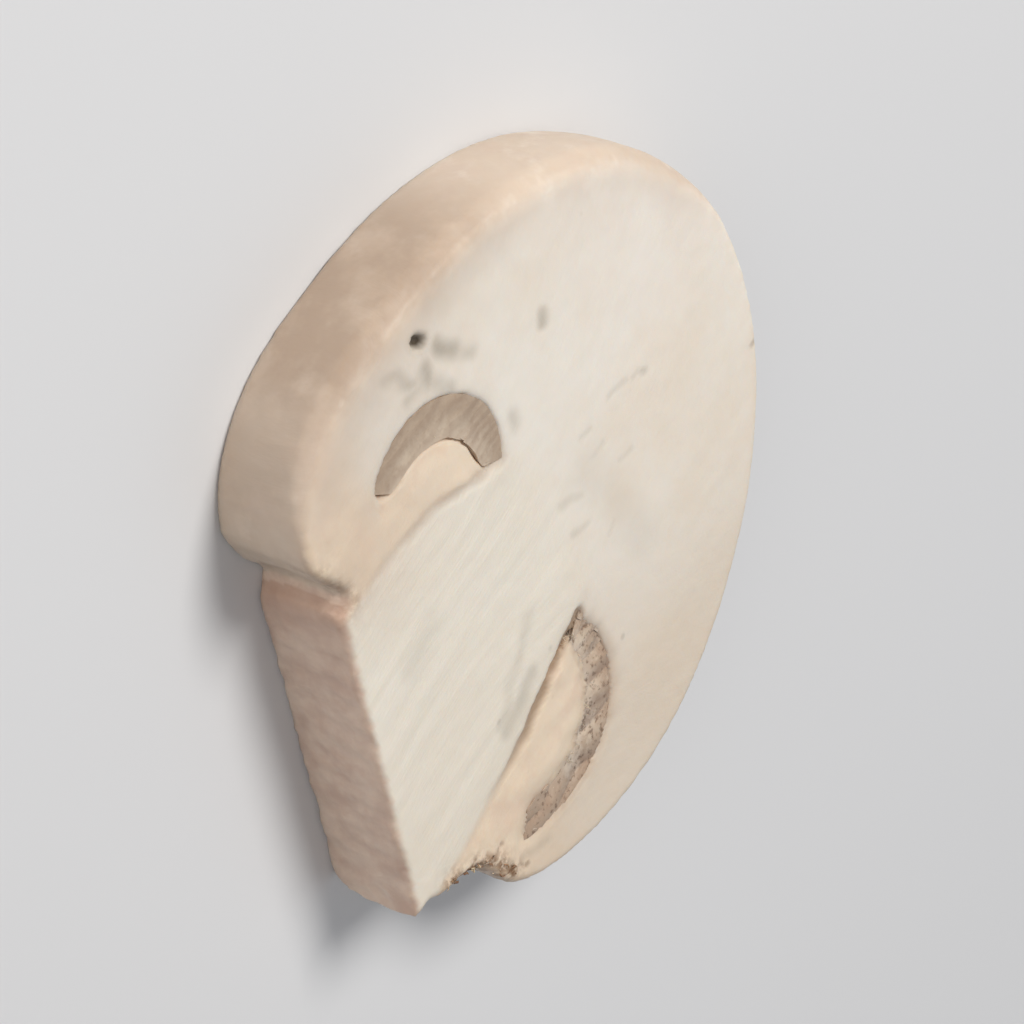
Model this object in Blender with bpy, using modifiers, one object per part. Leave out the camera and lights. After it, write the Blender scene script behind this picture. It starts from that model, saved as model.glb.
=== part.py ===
"""Button mushroom slice: one lengthwise slice through cap, gills and stem, lying on a cut face.

Everything is shaped on the whole mushroom standing upright, with its stem along Z and the
face that is seen first towards -Y. Two parallel knife planes cut the slice out of it, and
an empty then lays the slice down, so that the seen face looks up.
"""

import math

import bmesh
import bpy
from mathutils import Vector, noise

MM = 0.001

# Cap: heights are measured from its widest ring
CAP_RADIUS = 19.7 * MM
CAP_DOME = 20.5 * MM  # widest ring up to the top
MARGIN_DROP = 11.3 * MM  # widest ring down to where the margin turns under
MARGIN_RADIUS = 13.4 * MM
DOME_STEPS = 26
MARGIN_STEPS = 12

# Stem and the closed veil that joins it to the margin
STEM_RADIUS = 9.4 * MM
STEM_LENGTH = 19.0 * MM  # widest ring down to the uncut end
VEIL_ARCH = 10.3 * MM  # widest ring down to the underside of the veil
VEIL_TAG_DROP = 14.6 * MM  # torn veil left hanging on one side of the stem

# Oblique cut that trimmed the stem
TRIM_DROP = 13.7 * MM  # below the widest ring, on the stem's axis
TRIM_TILT = math.radians(15.5)
TRIM_WIDTH = 23.0 * MM
TRIM_OFFSET = 1.9 * MM  # the cut reaches further to the side that the stem leans to

# Gill chamber: a ring whose section is a crescent on an ellipse
CHAMBER_CENTRE = (9.5 * MM, -3.8 * MM)  # radius, height
CHAMBER_REACH = (5.15 * MM, 5.3 * MM)  # half width and half height of the ellipse
CHAMBER_START = math.radians(120)  # end beside the stem
CHAMBER_END = math.radians(-42)  # end at the margin
CHAMBER_DEPTH = 2.0 * MM  # from the cap's flesh to the veil
CHAMBER_TIP = 0.52  # share of the depth that is left at both ends
CHAMBER_SWELL = 0.14  # fuller on the +X side by this share, and leaner on the other
CHAMBER_STEPS = 16

# Narrow seam between stem and veil
SEAM_LINE = ((7.0, 0.3), (7.35, -0.9), (8.1, -2.8), (8.8, -4.5))  # radius, height in mm
SEAM_WIDTH = 0.45 * MM

# Gills: radial plates on a common root under the cap's flesh
GILL_CLEARANCE = 0.3 * MM
GILL_ROOT = 0.6 * MM
GILL_THICKNESS = 0.62 * MM
GILL_PITCH = math.radians(5.6)
GILL_FIRST = -4  # plates are counted from the plane through the stem's axis
GILL_LAST = 5
GILL_OVERLAP = 0.1 * MM  # plates and root reach past each other by this much
GILL_RECESS = 0.3 * MM  # gills end this far inside both cut faces

# The slice
SLICE_THICKNESS = 5.5 * MM
FACE_TO_AXIS = 2.3 * MM  # the seen face lies this far in front of the stem's axis
KNIFE_SPAN = 60.0 * MM

# Uneven growth
LEAN = 1.4 * MM  # sideways drift at the top of the cap, and the other way at the stem's end
STEM_LEAN = 0.2 * MM  # more of it below the veil
CAP_SHIFT = 0.6 * MM  # the cap sits to one side of the stem's axis
SHIFT_HEIGHTS = (-10.0 * MM, 2.0 * MM)  # where the shift begins and where it is complete
SKIN_WAVE = 0.2 * MM
SKIN_WAVE_LENGTH = 7.5 * MM

TURN_STEPS = 84
MERGE = 0.00001
FLESH_COLOUR = (0.82, 0.74, 0.63, 1)
GILL_COLOUR = (0.30, 0.20, 0.13, 1)


def clear_scene():
    for old in list(bpy.data.objects):
        bpy.data.objects.remove(old)


def new_collection(name):
    collection = bpy.data.collections.new(name)
    bpy.context.scene.collection.children.link(collection)
    return collection


def make_material(name, colour, roughness):
    material = bpy.data.materials.new(name)
    material.use_nodes = True
    shader = material.node_tree.nodes["Principled BSDF"]
    shader.inputs["Base Color"].default_value = colour
    shader.inputs["Roughness"].default_value = roughness
    shader.inputs["Metallic"].default_value = 0.0
    material.diffuse_color = colour
    return material


def freeze(obj):
    """Turns an object into a plain mesh of what its modifiers or its curve give."""
    bpy.context.view_layer.update()
    evaluated = obj.evaluated_get(bpy.context.evaluated_depsgraph_get())
    mesh = bpy.data.meshes.new_from_object(evaluated)
    mesh.transform(obj.matrix_world)
    shape = bmesh.new()
    shape.from_mesh(mesh)
    bmesh.ops.remove_doubles(shape, verts=shape.verts, dist=MERGE)
    bmesh.ops.recalc_face_normals(shape, faces=shape.faces)
    shape.to_mesh(mesh)
    shape.free()
    frozen = bpy.data.objects.new(obj.name, mesh)
    obj.users_collection[0].objects.link(frozen)
    name = obj.name
    bpy.data.objects.remove(obj)
    frozen.name = name
    return frozen


def turned(name, outline, collection, ring=False):
    """A profile of (radius, height) points turned about Z. A ring's profile is a closed loop."""
    count = len(outline)
    edges = [(i, i + 1) for i in range(count - 1)]
    if ring:
        edges.append((count - 1, 0))
    mesh = bpy.data.meshes.new(name)
    mesh.from_pydata([(radius, 0, height) for radius, height in outline], edges, [])
    obj = bpy.data.objects.new(name, mesh)
    collection.objects.link(obj)
    screw = obj.modifiers.new("turn", "SCREW")
    screw.axis = "Z"
    screw.steps = TURN_STEPS
    screw.render_steps = TURN_STEPS
    screw.use_merge_vertices = True
    screw.merge_threshold = MERGE
    return freeze(obj)


def flat_plate(name, outline, thickness, collection, azimuth=0.0):
    """A flat outline of (radius, height) points, as a plate standing on the plane at that azimuth."""
    curve = bpy.data.curves.new(name, "CURVE")
    curve.dimensions = "2D"
    curve.fill_mode = "BOTH"
    curve.extrude = thickness / 2
    spline = curve.splines.new("POLY")
    spline.points.add(len(outline) - 1)
    for point, (radius, height) in zip(spline.points, outline):
        point.co = (radius, height, 0, 1)
    spline.use_cyclic_u = True
    obj = bpy.data.objects.new(name, curve)
    obj.rotation_euler = (math.pi / 2, 0, azimuth)
    collection.objects.link(obj)
    return freeze(obj)


def block(name, size, centre, collection, tilt=0.0):
    """A box that cuts: tilt turns it about Y."""
    bpy.ops.mesh.primitive_cube_add(size=1)
    obj = bpy.context.active_object
    obj.name = name
    for holder in list(obj.users_collection):
        holder.objects.unlink(obj)
    collection.objects.link(obj)
    obj.data.transform(obj.matrix_world)
    for vertex in obj.data.vertices:
        vertex.co = Vector(a * b for a, b in zip(vertex.co, size))
    obj.location = centre
    obj.rotation_euler = (0, tilt, 0)
    return obj


def as_tool(obj):
    obj.hide_render = True
    obj.display_type = "WIRE"
    return obj


def boolean(obj, operation, tool):
    step = obj.modifiers.new(tool.name, "BOOLEAN")
    step.operation = operation
    step.solver = "EXACT"
    step.object = as_tool(tool)


def arc(centre, reach, start, end, steps):
    """Points on an ellipse, from one angle to another."""
    points = []
    for i in range(steps + 1):
        angle = start + (end - start) * i / steps
        points.append((centre[0] + reach[0] * math.cos(angle), centre[1] + reach[1] * math.sin(angle)))
    return points


def mushroom_profile():
    """From the top of the cap down its outside, under the margin and the veil, to the stem's end."""
    dome = arc((0, 0), (CAP_RADIUS, CAP_DOME), math.pi / 2, 0, DOME_STEPS)
    curl = (CAP_RADIUS - MARGIN_RADIUS, MARGIN_DROP)
    margin = arc((MARGIN_RADIUS, 0), curl, 0, -math.pi / 2, MARGIN_STEPS)
    veil = [
        (MARGIN_RADIUS - 1.3 * MM, -VEIL_ARCH - 0.75 * MM),
        (STEM_RADIUS + 1.6 * MM, -VEIL_ARCH - 0.15 * MM),
        (STEM_RADIUS + 0.8 * MM, -VEIL_ARCH),
        (STEM_RADIUS + 0.25 * MM, -VEIL_ARCH - 0.5 * MM),
    ]
    stem = [
        (STEM_RADIUS, -VEIL_ARCH - 1.8 * MM),
        (STEM_RADIUS, -VEIL_ARCH - 4.5 * MM),
        (STEM_RADIUS - 0.3 * MM, -STEM_LENGTH),
        (0, -STEM_LENGTH),
    ]
    return dome + margin[1:] + veil + stem


def veil_tag_outline():
    """The torn veil that still hangs on the stem, seen from the side."""
    return [
        (STEM_RADIUS - 1.5 * MM, -VEIL_ARCH + 1.5 * MM),
        (MARGIN_RADIUS - 0.2 * MM, -MARGIN_DROP + 0.9 * MM),
        (STEM_RADIUS + 3.4 * MM, -MARGIN_DROP - 0.2 * MM),
        (STEM_RADIUS + 2.4 * MM, -MARGIN_DROP - 0.5 * MM),
        (STEM_RADIUS + 1.5 * MM, -MARGIN_DROP - 1.3 * MM),
        (STEM_RADIUS + 1.0 * MM, -MARGIN_DROP - 2.3 * MM),
        (STEM_RADIUS + 0.5 * MM, -VEIL_TAG_DROP),
        (STEM_RADIUS - 0.3 * MM, -VEIL_TAG_DROP - 0.9 * MM),
        (STEM_RADIUS - 1.5 * MM, -VEIL_TAG_DROP - 0.9 * MM),
    ]


def crescent(outer_gap=0.0, inner_gap=0.0, depth=None):
    """Section of the gill chamber. The gaps draw it in from the cap's flesh, the veil and the ends."""
    end_gap = outer_gap / CHAMBER_REACH[0]
    start, end = CHAMBER_START - end_gap, CHAMBER_END + end_gap
    outer, inner = [], []
    for i in range(CHAMBER_STEPS + 1):
        share = i / CHAMBER_STEPS
        angle = start + (end - start) * share
        fullness = CHAMBER_TIP + (1 - CHAMBER_TIP) * math.sin(math.pi * share) ** 0.5
        reach_in = CHAMBER_DEPTH * fullness - inner_gap
        if depth is not None:
            reach_in = min(reach_in, outer_gap + depth)
        for side, inset in ((outer, outer_gap), (inner, reach_in)):
            side.append(
                (
                    CHAMBER_CENTRE[0] + (CHAMBER_REACH[0] - inset) * math.cos(angle),
                    CHAMBER_CENTRE[1] + (CHAMBER_REACH[1] - inset) * math.sin(angle),
                )
            )
    return outer + inner[::-1]


def seam_outline():
    """A thin strip along the seam line, pointed at its lower end."""
    line = [Vector((radius * MM, height * MM)) for radius, height in SEAM_LINE]
    near, far = [], []
    for i, point in enumerate(line):
        ahead = line[min(i + 1, len(line) - 1)] - line[max(i - 1, 0)]
        across = Vector((ahead.y, -ahead.x)).normalized()
        half = SEAM_WIDTH / 2 * (1 - 0.7 * i / (len(line) - 1))
        near.append(tuple(point - across * half))
        far.append(tuple(point + across * half))
    return near + far[::-1]


def swell(obj):
    """The gill chamber is fuller on the +X side than on the other."""
    for vertex in obj.data.vertices:
        flat = Vector((vertex.co.x, vertex.co.y))
        if flat.length == 0:
            continue
        toward = flat.x / flat.length
        radius = CHAMBER_CENTRE[0] + (flat.length - CHAMBER_CENTRE[0]) * (1 + CHAMBER_SWELL * toward)
        flat = flat * (radius / flat.length)
        top = CHAMBER_CENTRE[1] + CHAMBER_REACH[1]
        drop = (vertex.co.z - top) * (1 + CHAMBER_SWELL * toward)
        vertex.co = (flat.x, flat.y, top + drop)


def lean(obj):
    """The cap drifts to one side as it rises, and the stem to the other as it goes down."""
    for vertex in obj.data.vertices:
        share = vertex.co.z / CAP_DOME
        below_veil = min(max((-vertex.co.z - VEIL_ARCH) / (VEIL_TAG_DROP - VEIL_ARCH), 0), 1)
        rise = (vertex.co.z - SHIFT_HEIGHTS[0]) / (SHIFT_HEIGHTS[1] - SHIFT_HEIGHTS[0])
        rise = min(max(rise, 0), 1)
        shift = CAP_SHIFT * rise * rise * (3 - 2 * rise)
        vertex.co.x += shift + STEM_LEAN * below_veil - LEAN * share * abs(share)


def wave_skin(obj):
    """Low, wide waves in the cap's skin and the stem's side."""
    for vertex in obj.data.vertices:
        outward = Vector((vertex.co.x, vertex.co.y, 0))
        push = SKIN_WAVE * noise.noise(vertex.co / SKIN_WAVE_LENGTH)
        vertex.co += outward / CAP_RADIUS * push


def make_flesh(parts, tools, slice_block):
    """Cap, stem and veil, grown as one body, with the gill chamber and the seams open in it."""
    flesh = turned("cap_and_stem", mushroom_profile(), parts)
    wave_skin(flesh)
    lean(flesh)
    tag = flat_plate("torn_veil", veil_tag_outline(), 3 * SLICE_THICKNESS, tools)
    lean(tag)
    chamber = turned("gill_chamber", crescent(), tools, ring=True)
    seam = turned("stem_seam", seam_outline(), tools, ring=True)
    for hollow in (chamber, seam):
        swell(hollow)
        lean(hollow)
    trim_depth = STEM_LENGTH
    trim = block(
        "stem_trim",
        (TRIM_WIDTH, KNIFE_SPAN, trim_depth),
        (
            TRIM_OFFSET - math.sin(TRIM_TILT) * trim_depth / 2,
            0,
            -TRIM_DROP - math.tan(TRIM_TILT) * TRIM_OFFSET - math.cos(TRIM_TILT) * trim_depth / 2,
        ),
        tools,
        TRIM_TILT,
    )
    boolean(flesh, "UNION", tag)
    boolean(flesh, "DIFFERENCE", chamber)
    boolean(flesh, "DIFFERENCE", seam)
    boolean(flesh, "DIFFERENCE", trim)
    boolean(flesh, "INTERSECT", slice_block)
    return flesh


def make_gills(side, middle, parts, tools):
    """The gills of one side: a row of radial plates whose roots run into a strip under the flesh."""
    name = "gills_" + side
    plates = new_collection(name + "_plates")
    outline = crescent(GILL_CLEARANCE + GILL_OVERLAP, GILL_CLEARANCE)
    for count in range(GILL_FIRST, GILL_LAST + 1):
        turn = count * GILL_PITCH
        azimuth = turn if middle == 0 else middle - turn
        plate = flat_plate(f"{name}_plate_{count}", outline, GILL_THICKNESS, plates, azimuth)
        swell(plate)
        lean(plate)
    root = crescent(GILL_CLEARANCE, GILL_CLEARANCE + GILL_OVERLAP, GILL_ROOT)
    gills = turned(name, root, parts, ring=True)
    swell(gills)
    lean(gills)
    join = gills.modifiers.new("join", "BOOLEAN")
    join.operation = "UNION"
    join.operand_type = "COLLECTION"
    join.collection = plates
    join.solver = "EXACT"
    gills = freeze(gills)
    for plate in list(plates.objects):
        bpy.data.objects.remove(plate)
    bpy.data.collections.remove(plates)
    reach = KNIFE_SPAN / 2
    thickness = SLICE_THICKNESS - 2 * GILL_RECESS
    half_block = block(
        name + "_block",
        (reach, thickness, KNIFE_SPAN),
        (math.cos(middle) * reach / 2, -FACE_TO_AXIS + SLICE_THICKNESS / 2, 0),
        tools,
    )
    boolean(gills, "INTERSECT", half_block)
    return gills


def finish(obj, material):
    obj.data.materials.clear()
    obj.data.materials.append(material)
    obj.data.shade_smooth()
    obj.data.set_sharp_from_angle(angle=math.radians(40))


def lay_down(parts, tools):
    """Lays the slice on its far face, with the middle of its footprint at the origin."""
    bed = bpy.data.objects.new("laid_flat", None)
    bpy.context.scene.collection.objects.link(bed)
    bed.rotation_euler = (-math.pi / 2, 0, 0)
    for obj in parts + tools:
        obj.parent = bed
    bpy.context.view_layer.update()
    depsgraph = bpy.context.evaluated_depsgraph_get()
    corners = []
    for part in parts:
        mesh = part.evaluated_get(depsgraph).to_mesh()
        corners += [part.matrix_world @ vertex.co for vertex in mesh.vertices]
    low = Vector(min(corner[i] for corner in corners) for i in range(3))
    high = Vector(max(corner[i] for corner in corners) for i in range(3))
    bed.location = (-(low.x + high.x) / 2, -(low.y + high.y) / 2, -low.z)


def main():
    clear_scene()
    parts = new_collection("button_mushroom_slice")
    tools = new_collection("knives_and_hollows")
    slice_block = block(
        "slice_block",
        (KNIFE_SPAN, SLICE_THICKNESS, KNIFE_SPAN),
        (0, -FACE_TO_AXIS + SLICE_THICKNESS / 2, 0),
        tools,
    )
    flesh = make_flesh(parts, tools, slice_block)
    right = make_gills("right", 0.0, parts, tools)
    left = make_gills("left", math.pi, parts, tools)
    finish(flesh, make_material("mushroom_flesh", FLESH_COLOUR, 0.6))
    gill_material = make_material("mushroom_gills", GILL_COLOUR, 0.75)
    for gills in (left, right):
        finish(gills, gill_material)
    lay_down([flesh, left, right], list(tools.objects))


main()
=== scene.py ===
import math
from types import SimpleNamespace

import bmesh
import bpy
import numpy as np
from mathutils import Matrix, Vector, kdtree, noise


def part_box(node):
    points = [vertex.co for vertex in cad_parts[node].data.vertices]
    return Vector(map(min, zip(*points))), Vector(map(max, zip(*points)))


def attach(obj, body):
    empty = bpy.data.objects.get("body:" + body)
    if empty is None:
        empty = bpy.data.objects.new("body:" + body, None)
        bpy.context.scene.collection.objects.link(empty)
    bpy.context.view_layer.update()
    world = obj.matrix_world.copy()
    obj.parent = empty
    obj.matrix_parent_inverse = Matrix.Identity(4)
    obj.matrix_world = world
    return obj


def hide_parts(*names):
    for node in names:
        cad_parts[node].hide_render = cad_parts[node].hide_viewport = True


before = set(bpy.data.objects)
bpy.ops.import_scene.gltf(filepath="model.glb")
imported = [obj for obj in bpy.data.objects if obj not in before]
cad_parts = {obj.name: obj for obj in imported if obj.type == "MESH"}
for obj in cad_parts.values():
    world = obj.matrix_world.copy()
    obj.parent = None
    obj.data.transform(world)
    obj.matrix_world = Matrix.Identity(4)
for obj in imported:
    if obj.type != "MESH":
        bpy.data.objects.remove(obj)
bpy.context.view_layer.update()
print("stage: packed model loaded")

mm = 0.001


def srgb(red, green, blue):
    def linear(value):
        value /= 255
        return ((value + 0.055) / 1.055) ** 2.4 if value > 0.04 else value / 12.92
    return (linear(red), linear(green), linear(blue), 1)


def smooth(low, high, value):
    share = np.clip((value - low) / (high - low), 0, 1)
    return share * share * (3 - 2 * share)


# How the mushroom grew: the same measures as the solid's, in millimetres, shares and radians
growth = {
    "domeTop": 20.5,  # above the widest ring
    "axisDepth": 3.2,  # the stem's axis above the board
    "lean": 1.4,
    "stemLean": 0.2,
    "stemLeanFrom": 10.3,
    "stemLeanTo": 14.6,
    "capShift": 0.6,
    "shiftFrom": -10.0,
    "shiftTo": 2.0,
    "footprintShift": 0.574,  # from the stem's axis to the middle of the footprint
    "pocketCentre": (9.5, -3.8),  # radius, height
    "pocketReach": (5.15, 5.3),
    "pocketFrom": math.radians(-42),  # margin end
    "pocketTo": math.radians(120),  # stem end
    "pocketDepth": 2.0,
    "pocketTip": 0.52,
    "pocketSwell": 0.14,
    "trimDrop": 13.7,
    "trimTilt": math.radians(15.5),
}
cadLow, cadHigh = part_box("cap_and_stem")
ringLevel = cadHigh.y / mm - growth["domeTop"]  # where the widest ring lies along Y
faceLevel = cadHigh.z / mm  # the seen cut face


def leanAt(height):  # how far the flesh at this height has moved along X
    share = height / growth["domeTop"]
    span = growth["stemLeanTo"] - growth["stemLeanFrom"]
    belowVeil = np.clip((-height - growth["stemLeanFrom"]) / span, 0, 1)
    shift = growth["capShift"] * smooth(growth["shiftFrom"], growth["shiftTo"], height)
    shift = shift - growth["footprintShift"] + growth["stemLean"] * belowVeil
    return shift - growth["lean"] * share * np.abs(share)


def toMushroom(points):  # row frame in mm to x, depth and height of the upright mushroom
    height = points[:, 1] - ringLevel
    return points[:, 0] - leanAt(height), growth["axisDepth"] - points[:, 2], height


def toRow(x, depth, height):
    return np.stack([x + leanAt(height), height + ringLevel, growth["axisDepth"] - depth], axis=1)


def pocketPlace(x, depth, height):  # where a point lies on the gill pocket's ellipse
    radius = np.hypot(x, depth)
    toward = x / np.maximum(radius, 1e-6)
    centre, reach = growth["pocketCentre"], growth["pocketReach"]
    swell = 1 + growth["pocketSwell"] * toward
    top = centre[1] + reach[1]
    across = (radius - centre[0]) / swell / reach[0]
    along = ((height - top) / swell + top - centre[1]) / reach[1]
    return np.hypot(across, along), np.arctan2(along, across), radius


def pocketFill(angle):  # depth of the pocket along its length, as a share of the full depth
    share = (angle - growth["pocketFrom"]) / (growth["pocketTo"] - growth["pocketFrom"])
    inside = np.clip(share, 0, 1)
    return growth["pocketTip"] + (1 - growth["pocketTip"]) * np.sin(np.pi * inside) ** 0.5


# Small helpers for meshes and nodes
def readPoints(mesh, what="co"):
    values = np.empty(len(mesh.vertices) * 3, dtype=np.float32)
    mesh.vertices.foreach_get(what, values)
    return values.reshape(-1, 3).astype(np.float64)


def writePoints(mesh, points):
    mesh.vertices.foreach_set("co", points.astype(np.float32).ravel())
    mesh.update()


def storeMask(mesh, name, values):
    layer = mesh.attributes.get(name) or mesh.attributes.new(name, "FLOAT", "POINT")
    layer.data.foreach_set("value", np.asarray(values, dtype=np.float32))


def noiseAt(points, size, seed=0.0):
    shift = Vector((seed, seed * 1.7, -seed * 0.6))
    return np.array([noise.noise(Vector(point) / size + shift) for point in points])


def nearestTo(points, targets):  # distance to the nearest target, and which way it lies
    tree = kdtree.KDTree(len(targets))
    for index, target in enumerate(targets):
        tree.insert(target, index)
    tree.balance()
    found = [tree.find(point) for point in points]
    away = np.array([hit[2] for hit in found])
    return away, np.array([hit[0] for hit in found]) - points


def addObject(name, mesh):
    obj = bpy.data.objects.new(name, mesh)
    bpy.context.scene.collection.objects.link(obj)
    return obj


def evaluatedMesh(obj):  # the mesh that the object's modifiers give
    bpy.context.view_layer.update()
    mesh = bpy.data.meshes.new_from_object(obj.evaluated_get(bpy.context.evaluated_depsgraph_get()))
    obj.modifiers.clear()
    return mesh


def addNode(tree, kind, inputs=None, **settings):
    node = tree.nodes.new(kind)
    for name, value in settings.items():
        setattr(node, name, value)
    for key, value in (inputs or {}).items():
        if isinstance(value, bpy.types.NodeSocket):
            tree.links.new(value, node.inputs[key])
        else:
            node.inputs[key].default_value = value
    return node


def calc(tree, operation, first, second):
    return addNode(tree, "ShaderNodeMath", {0: first, 1: second}, operation=operation).outputs[0]


def mixColour(tree, factor, first, second):
    return addNode(tree, "ShaderNodeMix", {0: factor, 6: first, 7: second}, data_type="RGBA").outputs[2]


def maskOf(tree, name):
    return addNode(tree, "ShaderNodeAttribute", attribute_name=name).outputs["Fac"]


def newGroup(name, inputs, outputs):
    group = bpy.data.node_groups.new(name, "ShaderNodeTree")
    for label, kind, value in inputs:
        socket = group.interface.new_socket(label, in_out="INPUT", socket_type="NodeSocket" + kind)
        if value is not None:
            socket.default_value = value
    for label, kind in outputs:
        group.interface.new_socket(label, in_out="OUTPUT", socket_type="NodeSocket" + kind)
    return group, group.nodes.new("NodeGroupInput").outputs, group.nodes.new("NodeGroupOutput").inputs


def useGroup(tree, group, inputs):
    return addNode(tree, "ShaderNodeGroup", inputs, node_tree=group).outputs


def newShapeTree(name, inputs):
    tree = bpy.data.node_groups.new(name, "GeometryNodeTree")
    for label, kind in (("Geometry", "Geometry"), *inputs):
        tree.interface.new_socket(label, in_out="INPUT", socket_type="NodeSocket" + kind)
    tree.interface.new_socket("Geometry", in_out="OUTPUT", socket_type="NodeSocketGeometry")
    return tree, tree.nodes.new("NodeGroupInput").outputs


def finishShapeTree(tree, instances, material):
    real = addNode(tree, "GeometryNodeRealizeInstances", {0: instances})
    painted = addNode(tree, "GeometryNodeSetMaterial", {"Geometry": real.outputs[0], "Material": material})
    tree.links.new(painted.outputs[0], tree.nodes.new("NodeGroupOutput").inputs[0])
    return tree


def setInputs(modifier, values):
    for item in modifier.node_group.interface.items_tree:
        if item.item_type == "SOCKET" and item.in_out == "INPUT" and item.name in values:
            modifier[item.identifier] = values[item.name]


view = {
    "right": (0.3148, 0.5331, 0.7853),  # image right and image up, in the row frame
    "up": (-0.5932, 0.7577, -0.2766),
    "lens": 120,
    "distance": 0.172,
    "aim": (0.0, 0.0, 2.75),  # mm
}


def placeCamera():
    right = Vector(view["right"]).normalized()
    up = Vector(view["up"])
    up = (up - right * up.dot(right)).normalized()
    back = right.cross(up)
    aim = Vector(view["aim"]) * mm
    turn = Matrix((right, up, back)).transposed().to_4x4()
    camera = bpy.data.objects.new("camera", bpy.data.cameras.new("camera"))
    camera.data.lens = view["lens"]
    camera.data.clip_start = 0.01
    camera.matrix_world = Matrix.Translation(aim + back * view["distance"]) @ turn
    bpy.context.scene.collection.objects.link(camera)
    bpy.context.scene.camera = camera


studio = {
    "lamps": [  # name, where it stands (m), size (m), watts, colour
        ("key", (-0.30, 0.26, 0.42), 0.26, 2.9, (1.0, 0.97, 0.93)),
        ("fill", (0.30, 0.12, 0.30), 0.45, 0.30, (0.95, 0.97, 1.0)),
        ("low", (-0.34, -0.26, 0.16), 0.34, 0.62, (1.0, 0.97, 0.94)),
    ],
    "room": (0.93, 0.95, 1.0, 1),
    "roomStrength": 0.20,
    "board": srgb(218, 219, 221),
    "boardRough": 0.6,
    "boardSize": 0.9,
    "boardLevel": -0.01 * mm,
}


def lightStudio():
    for name, place, size, watts, colour in studio["lamps"]:
        lamp = bpy.data.lights.new(name, "AREA")
        lamp.shape = "DISK"
        lamp.size = size
        lamp.energy = watts
        lamp.color = colour
        holder = bpy.data.objects.new(name, lamp)
        holder.location = place
        holder.rotation_euler = (-Vector(place)).to_track_quat("-Z", "Y").to_euler()
        bpy.context.scene.collection.objects.link(holder)
    world = bpy.data.worlds.new("room")
    world.use_nodes = True
    world.node_tree.nodes["Background"].inputs["Color"].default_value = studio["room"]
    world.node_tree.nodes["Background"].inputs["Strength"].default_value = studio["roomStrength"]
    bpy.context.scene.world = world
    bpy.context.scene.view_settings.view_transform = "Standard"
    half, level = studio["boardSize"] / 2, studio["boardLevel"]
    corners = [(-half, -half, level), (half, -half, level), (half, half, level), (-half, half, level)]
    mesh = bpy.data.meshes.new("board")
    mesh.from_pydata(corners, [], [(0, 1, 2, 3)])
    board = addObject("board", mesh)
    material = bpy.data.materials.new("board")
    material.use_nodes = True
    shader = material.node_tree.nodes["Principled BSDF"]
    shader.inputs["Base Color"].default_value = studio["board"]
    shader.inputs["Roughness"].default_value = studio["boardRough"]
    mesh.materials.append(material)


placeCamera()
lightStudio()
print("stage: camera, light and board")


# Flesh: cap, stem and veil are one body
fleshShape = {
    "voxel": 0.19,
    "softEdges": 7,  # smoothing rounds
    "faceWave": (0.05, 5.0),  # height and length of each unevenness
    "faceGrain": (0.018, 0.9),
    "stemFibre": (0.026, 0.7),
    "skinWave": (0.10, 4.5),
    "skinGrain": (0.022, 0.8),
    "veilLump": (0.09, 1.5),
    "veilSink": 0.12,
    "pocketRag": (0.10, 0.9),
    "pocketClose": 0.20,
    "baseRough": (0.13, 0.9),
    "tornRag": (0.22, 0.45),
    "rimRound": 0.42,  # radius of the rim's rounding
    "rimRoundLeft": 0.85,  # more of it where the skin bends round the left shoulder
    "farRimRound": 0.30,
    "rimEven": 3,  # rounds that even out the rim's rounding
    "seamDepth": 0.22,
    "seamWidth": 0.26,
    "leftSeam": 0.35,  # share of the right seam's strength
    "fibreSpread": (9.4, 0.62, -2.0, 2.2),  # half width, fan's slope, height where it starts, blur
}

# Which walls are which
wallLimits = {
    "upright": 0.5,  # a side wall's normal points up or down by less than this
    "pocketPlace": (0.4, 1.08),  # place on the pocket's ellipse
    "pocketPast": (0.12, 0.15),  # radians past the pocket's ends
    "seamAway": 0.9,
    "seamRadius": 9.6,
    "trimAbove": 0.45,
    "trimLeft": -9.9,
    "trimHeight": -9.5,
}

# Where each zone of the flesh is nothing and where it is full, in mm if no note says otherwise
zoneBands = {
    "cutFace": (0.55, 0.9),  # how squarely the surface looks up or down
    "inStem": (0.5, -0.5),  # outside the stem's edge
    "outsideStem": (-0.3, 0.5),
    "marginEdge": (-0.3, 0.6),
    "stemTop": (4.5, -0.5),  # height on the mushroom
    "veilTop": (1.5, 0.2),
    "underPocket": (-6.2, -8.6),
    "marginTop": (-4.0, -8.5),
    "seamEnd": (-11.0, -4.5),
    "veilPlace": (1.02, 0.86),  # place on the pocket's ellipse
    "webOuter": (0.98, 0.85),
    "webInner": (0.3, 0.6),
    "veilReach": (16.5, 13.5),  # radius
    "leftward": (-3.0, -9.0),  # X in the row frame
    "shoulder": (-5.0, -17.0),
    "topLightLeft": (3.0, -8.0),
    "shade": (0.0, 17.0),
    "overLeftMargin": (-14.5, -9.5),  # Y in the row frame
    "lowBleedShade": (1.0, -6.0),
    "shoulderTop": (8.5, 1.0),
    "shoulderLow": (-9.5, -6.5),
    "topLight": (3.0, 14.0),
    "tornTop": (3.2, 4.8),  # Z in the row frame
    "skinWall": (0.42, 0.1),  # away from the edge of the zone
    "tornLine": (0.34, 0.08),
    "trim": (0.5, 0.1),
    "veilSink": (1.6, 0.2),
    "seamLine": (1.0, 0.25),  # in widths of the seam
    "smear": (1.9, 0.0),  # in half widths of the mark
    "pit": (1.3, 0.4),
    "pitHalo": (2.4, 0.6),
}

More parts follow.
